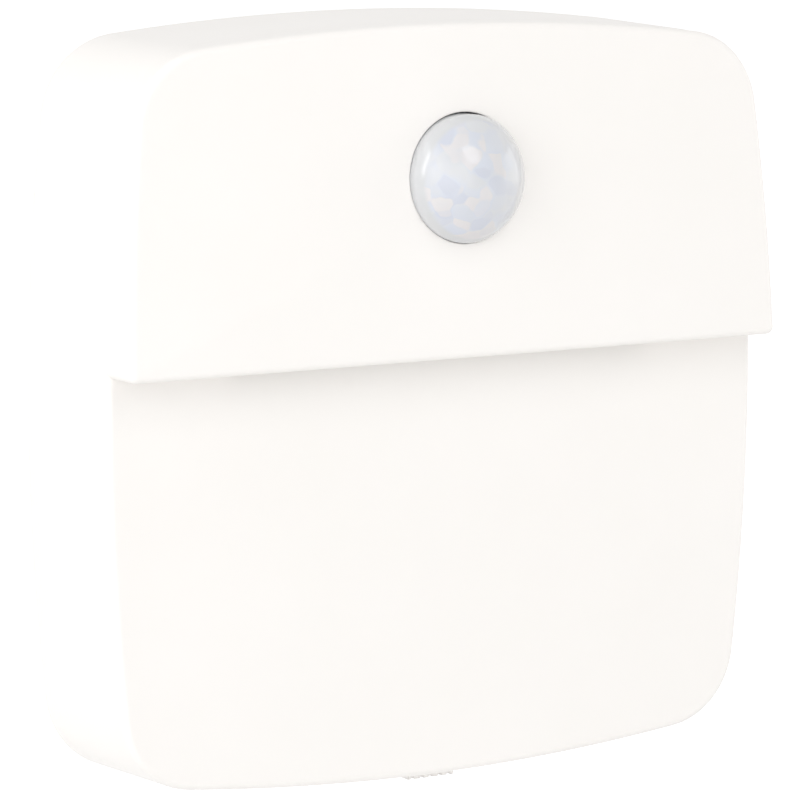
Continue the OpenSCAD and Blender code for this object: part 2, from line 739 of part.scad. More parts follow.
module transistors() color("#2b2c30") for (x = [-0.035, 0.09]) on_board_back(x, -0.32) {
    slab(transistor_w, transistor_h, -transistor_t, -play);
    reach = transistor_h / 2 + leg_w / 2;
    for (leg = [[-1, -1], [1, -1], [0, 1]]) translate([leg[0] * transistor_w / 3, leg[1] * reach, 0])
        slab(leg_w, 2 * leg_w, -transistor_t / 4, 0);
}

module chip_resistors() color("#3a3d44") for (i = [0 : 4], y = [0.09, 0.26])
    on_board_back(-0.36 + 0.055 * i, y) slab(resistor_w, resistor_l, -resistor_t, 0);

// Pan-head screw that points forwards, with its head's seat at a depth
module screw(r, l, head_r, head_h, seat) {
    slot = 0.5;
    rod(r, seat - play, seat + l - r);
    translate([0, 0, seat + l - r]) cylinder(r1 = r, r2 = r / 4, h = r);
    difference() {
        rod(head_r, seat - head_h, seat);
        for (a = [0, 90]) rotate([0, 0, a]) slab(1.5 * head_r, slot, seat - head_h - 1, seat - head_h / 2);
    }
}

module board_screws() color("#b9bcc0") for (x = [-1, 1], y = board_hole_ys) in_body()
    translate([x * board_hole_x, y, 0])
        screw(board_screw_r, board_screw_l, board_head_r, board_head_h, board_back);

module case_screws() color("#b9bcc0") for (x = [-1, 1], y = [-1, 1]) in_body()
    translate([x * post_c, y * post_c, 0])
        screw(case_screw_r, case_screw_l, case_head_r, case_head_h, seat_z);

// Solid forms of the rear cover, before its hollows are cut
module cover_forms() {
    back = rim_in + clear;
    translate([0, 0, rim_in]) linear_extrude(cover_t) polygon(outline(cover_inset));
    translate([0, 0, back]) linear_extrude(rim_in + cover_t + rib_h - back) difference() {
        polygon(outline(cover_inset));
        polygon(outline(cover_inset + rib_w));
    }
    intersection() {
        translate([0, tray_y, 0]) slab(tray_w + 2 * (tray_wall + ledge_w),
            tray_h + 2 * (tray_wall + ledge_w), back, ledge_z + ledge_t);
        linear_extrude(face_in) polygon(outline(cover_inset));
    }
    translate([0, tray_y, 0]) slab(tray_w + 2 * tray_wall, tray_h + 2 * tray_wall, back, tray_front);
    translate([0, (recess_low + recess_high) / 2, 0]) slab(recess_w + 2 * recess_wall,
        recess_high - recess_low + 2 * recess_wall, back, recess_z + recess_floor);
    for (x = [-1, 1], y = [-1, 1]) translate([x * post_c, y * post_c, 0])
        rod(cup_r, back, seat_z + cup_floor);
}

// Slots in the recess floor that the wall plate's hooks pass through
module hook_slots() for (x = [-1, 1], top = hook_tops)
    translate([x * hook_x - hook_w / 2 - hook_side, plate_y + top - slot_h, recess_z - 1])
        cube([hook_w + 2 * hook_side, slot_h, recess_floor + 2]);

module cover_hollows() {
    // Pocket and hollow of the battery tray
    translate([0, tray_y, 0]) {
        slab(door_w + 2 * door_gap, door_h + 2 * door_gap, -1, ledge_z);
        slab(tray_w, tray_h, 0, tray_in);
        // Gaps for the hinge tabs, through the ledge and the end of the tray's wall
        for (y = [-1, 1])
            translate([-tray_w / 2 - tray_wall - ledge_w - bite, y * pitch - tab_w / 2 - 2 * clear, door_in])
            cube([tray_wall + ledge_w + 2 * bite, tab_w + 4 * clear, sweep_z + clear - door_in]);
        // Scoop for a fingertip beside the latch tongue
        translate([door_w / 2, 0, 0]) rod(finger_r, -1, rim_in + cover_t - finger_floor);
    }
    // Slits for the solder tails of the end contacts
    for (end = [-1, 1])
        translate([end * (tray_w / 2 - contact_t / 2), tray_y + end * pitch, tray_in - 1])
            slab(contact_t, tail_w + 2 * play, 0, tray_floor + 2);
    // Recess of the wall plate
    translate([0, (recess_low + recess_high) / 2, 0])
        slab(recess_w, recess_high - recess_low, -1, recess_z);
    hook_slots();
    // Cups and holes of the case screws
    for (x = [-1, 1], y = [-1, 1]) translate([x * post_c, y * post_c, 0]) {
        rod(case_head_r + head_play, -1, seat_z);
        rod(case_screw_r + clear, 0, seat_z + cup_floor + 1);
    }
}

// Scalloped bed of the three cells along the tray's front wall
module cell_bed() {
    bed_w = 0.7 * cell_l;
    bed_h = cell_r / 2;
    translate([0, tray_y, 0]) difference() {
        slab(bed_w, tray_h + bite, tray_in - bed_h, tray_in + bite);
        for (i = [-1, 0, 1]) translate([-bed_w / 2 - 1, i * pitch, cell_z]) rotate([0, 90, 0])
            cylinder(r = cell_r + cell_play, h = bed_w + 2);
    }
}

module rear_cover() color("#f1eee7") in_body() {
    difference() {
        cover_forms();
        cover_hollows();
    }
    cell_bed();
}

// Stands what belongs to an end of the tray: its local x runs into the tray, y up and z forwards
module at_end(side) in_body() translate([side * tray_w / 2, tray_y, 0])
    mirror([side > 0 ? 1 : 0, 0, 0]) children();

// Stamped plate against the tray's end wall, clear of the door's tabs as they turn
module contact_plate(from, to) translate([0, from - contact_w / 2, contact_back])
    cube([contact_t, to - from + contact_w, tray_in - contact_back]);

// Round dimple that meets a cell's button
module dimple(row) translate([contact_t - play, row * pitch, cell_z]) rotate([0, 90, 0])
    cylinder(r1 = 1.6, r2 = 1.2, h = dimple_h + play);

// Tail that passes through the tray's front wall to its lead
module tail(row) translate([0, row * pitch - tail_w / 2, tray_in - bite])
    cube([contact_t, tail_w, tray_floor + bite + tail_l]);

module contact_positive() color("#cfcfc8") at_end(1) {
    contact_plate(pitch, pitch);
    dimple(1);
    tail(1);
}

module contact_negative() color("#cfcfc8") at_end(-1) {
    contact_plate(-pitch, -pitch);
    tail(-1);
}

// Each link joins a dimple in one row to the spring in the next row
module contact_link_right() color("#cfcfc8") at_end(1) {
    contact_plate(-pitch, 0);
    dimple(-1);
}

module contact_link_left() color("#cfcfc8") at_end(-1) {
    contact_plate(0, pitch);
    dimple(0);
}

// Cone-shaped springs, each one unbroken wire wound from its plate to the cell
module battery_springs() color("#c9ccd0") for (end = [[-1, 1], [1, 0], [-1, -1]])
    at_end(end[0]) translate([contact_t, end[1] * pitch, cell_z]) wire(spring_points(), spring_wire / 2, 6);

// Cell in a row, with its button at one end of the tray
module cell(side, row) at_end(side)
    translate([contact_t + dimple_h, row * pitch, cell_z]) rotate([0, 90, 0]) {
        cylinder(r = button_r, h = button_l + play);
        translate([0, 0, button_l]) cylinder(r = cell_r, h = cell_l - button_l);
    }

module cell_1() color("#5b8fb0") cell(1, 1);
module cell_2() color("#5b8fb0") cell(-1, 0);
module cell_3() color("#5b8fb0") cell(1, -1);

// Door that tilts out round its rounded left edge, on two tabs that reach under the cover
module battery_door() color("#f1eee7") in_body() translate([0, tray_y, 0]) {
    difference() {
        union() {
            translate([hinge_x, -door_h / 2, rim_in]) cube([door_w / 2 - hinge_x, door_h, door_t]);
            translate([hinge_x, door_h / 2, hinge_z]) rotate([90, 0, 0]) cylinder(r = door_t / 2, h = door_h);
        }
        for (y = [-1, 1]) translate([door_w / 2 - tongue_l, y * (tongue_w + slit_w) / 2 - slit_w / 2, 0])
            cube([tongue_l + 1, slit_w, door_in + 1]);
    }
    // Grip ridges on the tongue
    for (i = [1 : 3])
        translate([door_w / 2 - ridge_pitch * i - ridge_w, -tongue_w / 2 + ridge_w, rim_in - ridge_h])
            cube([ridge_w, tongue_w - 2 * ridge_w, ridge_h + play]);
    // Hinge tabs
    for (y = [-1, 1]) translate([hinge_x, y * pitch - tab_w / 2, 0]) {
        translate([-tab_reach, 0, tab_z]) cube([tab_reach + tab_t, tab_w, tab_t]);
        translate([0, 0, door_in - play]) cube([tab_t, tab_w, tab_z + tab_t - door_in + play]);
    }
}

// Small board that carries the slide switch in front of the battery tray
module switch_board() color("#2f6b45") in_body() difference() {
    translate([0, stake_y, 0]) slab(switch_board_w, switch_board_h, switch_back, switch_z);
    for (x = [-1, 1]) translate([x * stake_x, stake_y, 0])
        rod(stake_r + play, switch_back - 1, switch_z + 1);
}

module switch_housing() color("#c9ccd0") in_body() difference() {
    room = switch_travel + play;
    translate([0, switch_y + switch_h / 2, 0]) slab(switch_w, switch_h, switch_z, switch_z + switch_t);
    translate([0, switch_y, switch_z + switch_t / 2]) {
        translate([0, housing_rim + play + slider_h / 2, 0])
            cube([slider_w + 2 * room, slider_h + 2 * play, stem_d + 2 * play], center = true);
        cube([stem_w + 2 * room, 2, stem_d + 2 * play], center = true);
    }
}

module switch_slider() color("#2b2c30") in_body() translate([0, switch_y, switch_z + switch_t / 2]) {
    translate([0, housing_rim + play + slider_h / 2, 0]) cube([slider_w, slider_h, stem_d], center = true);
    translate([-stem_w / 2, -cap_flange_t, -stem_d / 2])
        cube([stem_w, cap_flange_t + housing_rim + 2 * play, stem_d]);
}

// Ribbed button below the body, with a flange inside that covers the slot
module switch_button() color("#f4f1ea") in_body() difference() {
    union() {
        translate([-cap_w / 2, cap_y - cap_out, cap_z - cap_d / 2])
            cube([cap_w, cap_flange_y - cap_y + cap_out + play, cap_d]);
        translate([-slot_w / 2 - switch_travel - bite, cap_flange_y, cap_z - cap_d / 2 - bite])
            cube([slot_w + 2 * switch_travel + 2 * bite, cap_flange_t, cap_d + 2 * bite]);
    }
    translate([-stem_w / 2 - play, cap_flange_y + play, switch_z + switch_t / 2 - stem_d / 2 - play])
        cube([stem_w + 2 * play, cap_flange_t, stem_d + 2 * play]);
    for (i = [-2 : 2]) translate([i * rib_pitch - rib_gap / 2, cap_y - cap_out - 1, cap_z - cap_d / 2 - 1])
        cube([rib_gap, 1 + cap_out / 3, cap_d + 2]);
}

module battery_lead_red() color("#b3332e") in_body() wire(smooth(red_route), lead_d / 2, 8);
module battery_lead_black() color("#2a2a2c") in_body() wire(smooth(black_route), lead_d / 2, 8);
module switch_leads() color("#e9e6dc") in_body() for (i = [-1, 0, 1])
    wire(smooth(switch_route(2.5 * lead_d * i)), lead_d / 2, 8);

// Plate on the wall, with four hooks, two countersunk screw holes and pockets for the pads
module wall_plate() color("#f1eee7") on_wall() difference() {
    union() {
        linear_extrude(plate_t) rounded(plate_w, plate_h, plate_r);
        for (x = [-1, 1], top = hook_tops) translate([x * hook_x - hook_w / 2, top - neck_h, 0]) {
            translate([0, 0, plate_t / 2]) cube([hook_w, neck_h, hook_z + hook_t - plate_t / 2]);
            translate([0, 0, hook_z]) cube([hook_w, neck_h + hook_up, hook_t]);
        }
    }
    for (x = [-1, 1]) translate([x * hole_spacing / 2, 0, 0]) {
        rod(hole_r, -1, plate_t + 1);
        translate([0, 0, plate_t - sink_h]) cylinder(r1 = hole_r, r2 = sink_r, h = sink_h + 0.001);
    }
    for (y = [-1, 1]) translate([0, y * tape_y, 0]) slab(pad_w + 2 * clear, pad_h + 2 * clear, -1, pad_t);
}

module adhesive_pads() color("#d8d6cf") on_wall() for (y = [-1, 1]) translate([0, y * tape_y, 0])
    slab(pad_w, pad_h, 0, pad_t);

wall_plate();
adhesive_pads();
front_shell();
light_window();
sensor_lens();
lens_spacer();
pir_sensor();
pir_filter();
main_board();
light_strip_board();
leds();
light_sensor();
control_chip();
capacitor();
transistors();
chip_resistors();
board_screws();
rear_cover();
case_screws();
contact_positive();
contact_negative();
contact_link_right();
contact_link_left();
battery_springs();
cell_1();
cell_2();
cell_3();
battery_door();
switch_board();
switch_housing();
switch_slider();
switch_button();
battery_lead_red();
battery_lead_black();
switch_leads();
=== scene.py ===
import bpy
import numpy as np
from mathutils import Matrix, Vector


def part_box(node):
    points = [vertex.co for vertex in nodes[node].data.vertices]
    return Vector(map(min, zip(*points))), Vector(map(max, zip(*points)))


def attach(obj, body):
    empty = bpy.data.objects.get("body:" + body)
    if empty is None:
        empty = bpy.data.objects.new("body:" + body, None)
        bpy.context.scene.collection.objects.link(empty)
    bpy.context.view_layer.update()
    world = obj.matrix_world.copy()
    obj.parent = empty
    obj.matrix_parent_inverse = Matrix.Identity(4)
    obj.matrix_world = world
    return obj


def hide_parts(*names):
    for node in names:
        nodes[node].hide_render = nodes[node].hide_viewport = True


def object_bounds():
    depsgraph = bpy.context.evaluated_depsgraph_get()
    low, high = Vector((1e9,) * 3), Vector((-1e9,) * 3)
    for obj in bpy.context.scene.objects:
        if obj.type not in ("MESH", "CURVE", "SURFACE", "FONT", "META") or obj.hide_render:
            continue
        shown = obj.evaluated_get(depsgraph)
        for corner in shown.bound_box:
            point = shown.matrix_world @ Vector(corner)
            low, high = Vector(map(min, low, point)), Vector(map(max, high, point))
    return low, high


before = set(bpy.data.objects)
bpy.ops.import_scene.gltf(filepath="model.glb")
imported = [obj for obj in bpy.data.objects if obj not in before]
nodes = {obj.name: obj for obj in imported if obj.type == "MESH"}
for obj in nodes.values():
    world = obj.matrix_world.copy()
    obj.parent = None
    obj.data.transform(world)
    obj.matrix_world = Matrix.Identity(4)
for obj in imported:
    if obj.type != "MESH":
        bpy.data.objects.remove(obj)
cad_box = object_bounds()

# Sizes in millimetres, from the part's source. x runs right, y up from the body's centre and z
# forwards from the wall.
BODY_W, SIDE_R, CORNER_R, WALL, DRAFT = 86, 283, 9.9, 1.8, 0.028
EDGE_R, BACK_R = 0.8, 1.2
FACE_IN, FACE = 16.8, 18.5
LIP_Y, LIP_OUT, LEAN, CROWN, HOOD_WALL, LIP_WALL = 5.4, 5, 0.067, 0.8, 1.8, 1.8
SENSOR_Y, LENS_T, FLANGE_R, FLANGE_T, SEAT_H, SEAT_WALL = 25.4, 0.6, 9, 0.8, 1, 1.4
WINDOW_W, WINDOW_D, WINDOW_Z = 54, 2.2, 19.9
CAP_Y, CAP_Z, CAP_D, SLOT_W = -42.5856, 14.8, 2.6, 10.6
CASE_POST, CASE_POST_R, CASE_PILOT_R, CASE_SEAT = 34.06, 2.75, 1.2, 4.4
BOARD_POST_X, BOARD_POST_Y, BOARD_POST_R, BOARD_PILOT_R = 24.5, (34.4, 14.05), 2, 0.95
BOARD_FRONT, BOARD_BACK, CAN_BASE_T = 16.2, 14.6, 0.8
TRAY_W, TRAY_Y, TRAY_TOP, TRAY_FRONT, PITCH, CELL_Z = 49.9, -20.65, -3.1, 14, 10.9, 7.45
CONTACT_T, SPRING_L, SPRING_R, SPRING_TIP_R = 0.4, 4, 2.8, 1.7
SPRING_WIRE, SPRING_TURNS = 0.5, 3
LEAD_D, LEAD_Z, SOLDER_Y, SWITCH_TOP, SWITCH_Z = 0.8, 15.4, 2.8, -32.4856, 15.1
# PLAY is the gap between pieces that fit together, HAIR keeps surfaces from coinciding and BITE is
# how far a form runs into the next.
PLAY, HAIR, BITE = 0.1, 0.02, 0.5
# The scene's own: the dome's collar, its gap, its place in the hole and its profile, the softened
# rim of the hole, the hollow hood's corner, and how far a cut runs past the surface that it opens
LENS_R, LENS_GAP, LENS_OFF = 7.12, 0.13, (-0.112, -0.05)
DOME_R, DOME_SET, DOME_EDGE = 7.6, 1.801, 1.2
HOLE_RIM, INNER_R, PAST = 0.06, 0.3, 1
# Height of the wall plate's centre above the body's centre, read from the frame
PLATE_Y = BODY_W / 2 - 1000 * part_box("front_shell")[1].z
SIDE_C = BODY_W / 2 - SIDE_R
CORNER_C = (SIDE_C + np.sqrt(2 * (SIDE_R - CORNER_R) ** 2 - SIDE_C ** 2)) / 2
SIDE_A = np.arctan2(CORNER_C, CORNER_C - SIDE_C)
EDGE = np.linspace(0, np.pi / 2, 9)


# Shapes

def hood_depth(y, x=0):
    """Depth of the hood's face: its depth at the lip, less the lean for each millimetre above it,
    and in front of that the crown, which falls off with the square of x to nothing at the sides."""
    return FACE + LIP_OUT - LEAN * (y - LIP_Y) + CROWN * (1 - (2 * x / BODY_W) ** 2)


def arc(centre, r, start, end, steps):
    """Points of an arc, centre + r (cos a, sin a), without its last point."""
    a = np.linspace(start, end, steps, endpoint=False)
    return np.array(centre) + r * np.c_[np.cos(a), np.sin(a)]


def outline(inset):
    """The bulged square: a side arc and a corner arc, drawn in by inset and turned four times by 90
    degrees."""
    quarter = np.r_[arc((SIDE_C, 0), SIDE_R - inset, -SIDE_A, SIDE_A, 36),
                    arc((CORNER_C, CORNER_C), CORNER_R - inset, SIDE_A, np.pi / 2 - SIDE_A, 20)]
    x, y = quarter.T
    return np.r_[quarter, np.c_[-y, x], -quarter, np.c_[y, -x]]


def hood_outline(inset, floor, r):
    """The part of the outline above a floor, with lower corners of radius r where the sides reach
    it. The outline goes on half a millimetre above a corner, so that no two points lie close."""
    y = floor + r
    x = SIDE_C + np.sqrt((SIDE_R - inset) ** 2 - y * y)
    top = outline(inset)
    return np.r_[arc((x - r, y), r, -np.pi / 2, 0, 8), [(x, y)], top[top[:, 1] > y + 0.5],
                 arc((r - x, y), r, np.pi, 1.5 * np.pi, 8), [(r - x, floor)]]


def flat(points, z):
    """A ring at one depth."""
    return np.c_[points, np.full(len(points), z)]


def leaning(points, behind):
    """A ring that follows the hood's face, a distance behind it."""
    return np.c_[points, hood_depth(points[:, 1], points[:, 0]) - behind]


def across(points, behind, steps=24):
    """The rings that a ring on the hood's face becomes as it shrinks in equal steps to the face's
    middle, where the last one keeps half a step open for the cap."""
    middle = np.array((0, (LIP_Y + BODY_W / 2) / 2))
    return [leaning(middle + (1 - i / (steps + 0.5)) * (points - middle), behind)
            for i in range(1, steps + 1)]


def circle(r, y=0.0, steps=96):
    """Points on a circle round (0, y)."""
    return arc((0, y), r, 0, 2 * np.pi, steps)


def standing(points):
    """Carries drawn points (x, y, z) in mm to the row frame in metres: (x, -z, y - the wall plate's
    height)."""
    x, y, z = np.moveaxis(np.asarray(points, float), -1, 0)
    return np.stack([x, -z, y - PLATE_Y], -1) / 1000


def loft(rings):
    """Closed solid over rings of equally many points, each joined to the next, with a cap at both
    ends."""
    rings = np.asarray(rings)
    levels, n = rings.shape[:2]
    i = np.arange(n)
    low = np.arange(levels - 1)[:, None] * n
    k = (i + 1) % n
    quads = np.stack([low + i, low + k, low + n + k, low + n + i], -1).reshape(-1, 4)
    faces = quads.tolist() + [i[::-1].tolist(), (n * (levels - 1) + i).tolist()]
    return rings.reshape(-1, 3), faces


def turned(profile, steps=128):
    """A closed profile of (radius, depth) carried round the z axis: (r cos a, r sin a, depth)."""
    r, z = np.array(profile, float).T
    a = np.linspace(0, 2 * np.pi, steps, endpoint=False)[:, None]
    grid = np.stack([r * np.cos(a), r * np.sin(a), z + 0 * a], -1)
    m = len(r)
    i, j = np.arange(steps)[:, None], np.arange(m)
    i2, j2 = (i + 1) % steps, (j + 1) % m
    faces = np.stack([i * m + j, i2 * m + j, i2 * m + j2, i * m + j2], -1).reshape(-1, 4)
    return grid.reshape(-1, 3), faces.tolist()


def box(low, high):
    """Box between two corners, as a loft over two rectangles."""
    (x0, y0, z0), (x1, y1, z1) = low, high
    corners = np.array([(x0, y0), (x1, y0), (x1, y1), (x0, y1)], float)
    return loft([flat(corners, z0), flat(corners, z1)])


def tube(path, r, sides=14):
    """A round wire: at each point of the path a circle of radius r, square to the path there."""
    path = np.asarray(path, float)
    along = np.gradient(path, axis=0)
    along /= np.linalg.norm(along, axis=1)[:, None]
    rough = np.where(np.abs(along[:, :1]) < 0.8, (1.0, 0, 0), (0, 1.0, 0))
    side = np.cross(along, rough)
    side /= np.linalg.norm(side, axis=1)[:, None]
    up = np.cross(along, side)
    a = np.linspace(0, 2 * np.pi, sides, endpoint=False)[None, :, None]
    return loft(path[:, None] + r * (np.cos(a) * side[:, None] + np.sin(a) * up[:, None]))


def joined(*shapes):
    """Several closed shapes as the points and faces of one mesh."""
    points, faces, start = [], [], 0
    for p, f in shapes:
        points.append(p)
        faces += [[start + i for i in face] for face in f]
        start += len(p)
    return np.concatenate(points), faces


def piece(name, shape):
    """A mesh object in the row frame, with its place in the mesh. Faces that aren't valid are
    dropped."""
    points, faces = shape
    mesh = bpy.data.meshes.new(name)
    mesh.from_pydata(standing(points), [], faces)
    mesh.validate()
    obj = bpy.data.objects.new(name, mesh)
    bpy.context.scene.collection.objects.link(obj)
    return obj


def carve(obj, *steps):
    """Joins or cuts closed shapes, in order, and keeps the result as the object's own mesh."""
    tools = []
    for operation, shape in steps:
        tool = piece("tool", shape)
        m = obj.modifiers.new(operation, "BOOLEAN")
        m.operation, m.solver, m.object = operation, "MANIFOLD", tool
        tools.append(tool)
    made = bpy.data.meshes.new_from_object(obj.evaluated_get(bpy.context.evaluated_depsgraph_get()))
    obj.modifiers.clear()
    obj.data = made
    made.name = obj.name
    for tool in tools:
        bpy.data.objects.remove(tool)


def soften(obj, degrees=32):
    """Smooth shading with crisp edges past an angle, and weighted normals that keep flat faces
    flat."""
    obj.data.shade_smooth()
    obj.data.set_sharp_from_angle(angle=np.radians(degrees))
    m = obj.modifiers.new("weighted", "WEIGHTED_NORMAL")
    m.keep_sharp = True


# Housing

def shell_forms():
    """The body with its rounded back and front edges, and the leaning hood over its upper half."""
    inset = DRAFT * FACE
    body = [flat(outline(BACK_R * (1 - np.sin(a))), BACK_R * (1 - np.cos(a))) for a in EDGE]
    body += [flat(outline(inset + EDGE_R * (1 - np.cos(a))), FACE - EDGE_R * (1 - np.sin(a)))
             for a in EDGE]
    corner = EDGE_R + PLAY
    hood_in = DRAFT * hood_depth(SENSOR_Y, BODY_W / 2) + HAIR
    hood = [flat(hood_outline(inset + HAIR, LIP_Y, corner), FACE_IN)]
    hood += [leaning(hood_outline(hood_in + e, LIP_Y + e, corner - e), EDGE_R * (1 - np.sin(a)))
             for a, e in zip(EDGE, EDGE_R * (1 - np.cos(EDGE)))]
    hood += across(hood_outline(hood_in + EDGE_R, LIP_Y + EDGE_R, corner - EDGE_R), 0)
    return loft(body), loft(hood)


def shell_hollows():
    """The hollow body and hood, the lens hole with its softened rim, and the slots of window and
    switch."""
    body = loft([flat(outline(WALL), -PAST), flat(outline(WALL + DRAFT * FACE_IN), FACE_IN)])
    hood_in = WALL + DRAFT * hood_depth(SENSOR_Y, BODY_W / 2) + HAIR
    inner = hood_outline(hood_in, LIP_Y + LIP_WALL, INNER_R)
    hood = loft([flat(inner, FACE_IN - PAST), leaning(inner, HOOD_WALL)]
                + across(inner, HOOD_WALL, 8))
    hole_r = LENS_R + LENS_GAP
    hole = [flat(circle(hole_r, SENSOR_Y), FACE_IN - BITE)]
    hole += [leaning(circle(hole_r + e, SENSOR_Y), HOLE_RIM * (1 - np.sin(a)))
             for a, e in zip(EDGE, HOLE_RIM * (1 - np.cos(EDGE)))]
    hole += [leaning(circle(hole_r + HOLE_RIM, SENSOR_Y), -PAST)]
    window = box((-WINDOW_W / 2 - PLAY, LIP_Y - PAST, WINDOW_Z - WINDOW_D / 2 - PLAY),
                 (WINDOW_W / 2 + PLAY, LIP_Y + LIP_WALL + PAST, WINDOW_Z + WINDOW_D / 2 + PLAY))
    slot = box((-SLOT_W / 2, CAP_Y - 2 * WALL, CAP_Z - CAP_D / 2 - PLAY),
               (SLOT_W / 2, CAP_Y + 2 * WALL, CAP_Z + CAP_D / 2 + PLAY))
    return body, hood, loft(hole), window, slot


def sleeve(x, y, outer, inner, back, front):
    """A post or ring with a hole along it: a rectangle of radius and depth carried round its own
    axis."""
    points, faces = turned([(inner, back), (outer, back), (outer, front), (inner, front)], 40)
    return points + (x, y, 0), faces


def shell_fittings():
    """Inside the shell: the lens seat and the posts of case and board screws."""
    seat = hood_depth(SENSOR_Y) - HOOD_WALL
    hole_r = LENS_R + LENS_GAP + PLAY
    fittings = [sleeve(0, SENSOR_Y, hole_r + SEAT_WALL, hole_r, seat - SEAT_H, seat + BITE)]
    case_top = hood_depth(CASE_POST, CASE_POST) - (HOOD_WALL - BITE)
    for x in (-CASE_POST, CASE_POST):
        for y, front in ((CASE_POST, case_top), (-CASE_POST, FACE_IN + BITE)):
            fittings.append(sleeve(x, y, CASE_POST_R, CASE_PILOT_R, CASE_SEAT, front))
    for x in (-BOARD_POST_X, BOARD_POST_X):
        for y in BOARD_POST_Y:
            front = hood_depth(y, x) - (HOOD_WALL - BITE)
            fittings.append(sleeve(x, y, BOARD_POST_R, BOARD_PILOT_R, BOARD_FRONT, front))
    return fittings


def make_shell():
    """The front shell: body and hood in one, hollowed and cut, with its fittings joined on."""
    body, hood = shell_forms()
    shell = piece("shell", body)
    carve(shell, ("UNION", hood), *(("DIFFERENCE", cut) for cut in shell_hollows()))
    fittings = piece("fittings", joined(*shell_fittings()))
    with bpy.context.temp_override(active_object=shell,
                                   selected_editable_objects=[shell, fittings]):
        bpy.ops.object.join()
    soften(shell)
    return shell


def make_dome():
    """Lens dome and flange: the profile runs up the flange and the collar of radius R, round a
    small edge arc of radius e, which touches the collar and, at the angle acos((R - e) / (D - e)),
    the sphere of radius D, over that sphere, and back inside at the lens's thickness. The lens
    sits left and low within its play."""
    foot = hood_depth(SENSOR_Y) - HOOD_WALL - SEAT_H - FLANGE_T
    centre = hood_depth(SENSOR_Y) - DOME_SET
    edge_r = LENS_R - DOME_EDGE
    start = np.arccos(edge_r / (DOME_R - DOME_EDGE))
    edge_z = centre + edge_r * np.tan(start)
    bend, cap = np.linspace(0, start, 9)[:-1], np.linspace(start, np.pi / 2, 41)
    skins = []
    for t in (0, LENS_T):
        edge, sphere = DOME_EDGE - t, DOME_R - t
        skins.append(np.r_[np.c_[edge_r + edge * np.cos(bend), edge_z + edge * np.sin(bend)],
                           np.c_[sphere * np.cos(cap), centre + sphere * np.sin(cap)]])
    profile = np.r_[[(FLANGE_R, foot), (FLANGE_R, foot + FLANGE_T), (LENS_R, foot + FLANGE_T)],
                    skins[0], skins[1][::-1], [(LENS_R - LENS_T, foot)]]
    points, faces = turned(profile)
    dome = piece("lens_dome", (points + (LENS_OFF[0], SENSOR_Y + LENS_OFF[1], 0), faces))
    soften(dome)
    return dome


# Wires

def make_springs():
    """Cone springs: a helix whose radius shrinks evenly from plate to cell and whose turns lie
    closer at both ends."""
    f = np.linspace(0, 1, 24 * SPRING_TURNS + 1)
    rise = (SPRING_L - SPRING_WIRE - 2 * HAIR) * (f - 0.5 * np.sin(2 * np.pi * f) / (2 * np.pi))
    r = SPRING_R + (SPRING_TIP_R - SPRING_R) * f
    a = 2 * np.pi * SPRING_TURNS * f
    out = TRAY_W / 2 - CONTACT_T - HAIR - SPRING_WIRE / 2 - rise
    wires = [tube(np.c_[side * out, TRAY_Y + row * PITCH + r * np.cos(a), CELL_Z + r * np.sin(a)],
                  SPRING_WIRE / 2, 10) for side, row in ((-1, 1), (1, 0), (-1, -1))]
    return piece("springs", joined(*wires))


def bends(start, steps):
    """Points at steps of the lead's thickness from a start."""
    return [np.array(start) + LEAD_D * np.array(step, float) for step in steps]


def to_board(x):
    """The way of every lead from the tray's top edge to its joint on the main board's back."""
    over_edge = [np.array((x, TRAY_TOP - 2 * LEAD_D, LEAD_Z)),
                 np.array((x, TRAY_TOP + 1.5 * LEAD_D, TRAY_FRONT))]
    return over_edge + bends((x, SOLDER_Y, BOARD_BACK),
                             [(0, -2.5, -2.25), (0, -0.75, -2.1), (0, 0, -1), (0, 0, 0)])


def lead(route):
    """A lead along a route: a straight first and last step, and between them a curve through every
    point, (2a + (b - p) t + (2p - 5a + 4b - c) t^2 + (3a - p - 3b + c) t^3) / 2."""
    route = np.array(route)
    p, a, b, c = (route[i:len(route) - 3 + i, None] for i in range(4))
    t = np.linspace(0, 1, 8, endpoint=False)[None, :, None]
    curve = 0.5 * (2 * a + (b - p) * t + (2 * p - 5 * a + 4 * b - c) * t ** 2
                   + (3 * a - p - 3 * b + c) * t ** 3)
    return tube(np.r_[route[:1], curve.reshape(-1, 3), route[-2:]], LEAD_D / 2)


def make_leads():
    """The battery leads, from the tails of their contacts, and the three switch leads, from the
    switch board, all to the main board's back."""
    tail_x, tail_z = TRAY_W / 2 - CONTACT_T, TRAY_FRONT + LEAD_D / 2 + PLAY
    red = (bends((tail_x, TRAY_Y + PITCH, tail_z), [(0, 0, 0), (-0.6, 0, 0), (-2.5, 0.75, 0.4)])
           + bends((tail_x, TRAY_Y + PITCH, LEAD_Z), [(-3.75, 3, 0)])
           + to_board(tail_x - 4 * LEAD_D))
    black = (bends((-tail_x, TRAY_Y - PITCH, tail_z), [(0, 0, 0), (0.6, 0, 0), (2.5, 0.75, 0.4)])
             + bends((-tail_x, TRAY_Y - PITCH, LEAD_Z), [(3.75, 3, 0)])
             + bends((-tail_x, TRAY_Y, LEAD_Z), [(3, -2.5, 0), (3.75, 10, 0)])
             + to_board(4 * LEAD_D - tail_x))
    switch = [bends((x, SWITCH_TOP, SWITCH_Z),
                    [(0, -2.25, 0), (0, -2.25, 0.4), (0, -1.6, 1), (0, 0, 1.1)])
              + bends((x, SWITCH_TOP, LEAD_Z), [(0, 3.75, 0)])
              + bends((0.8 * x, TRAY_Y, LEAD_Z), [(0, -5, 0), (0, 7.5, 0)]) + to_board(x)
              for x in (-2.5 * LEAD_D, 0, 2.5 * LEAD_D)]
    return (piece("red_lead", lead(red)), piece("black_lead", lead(black)),
            piece("switch_wires", joined(*map(lead, switch))))


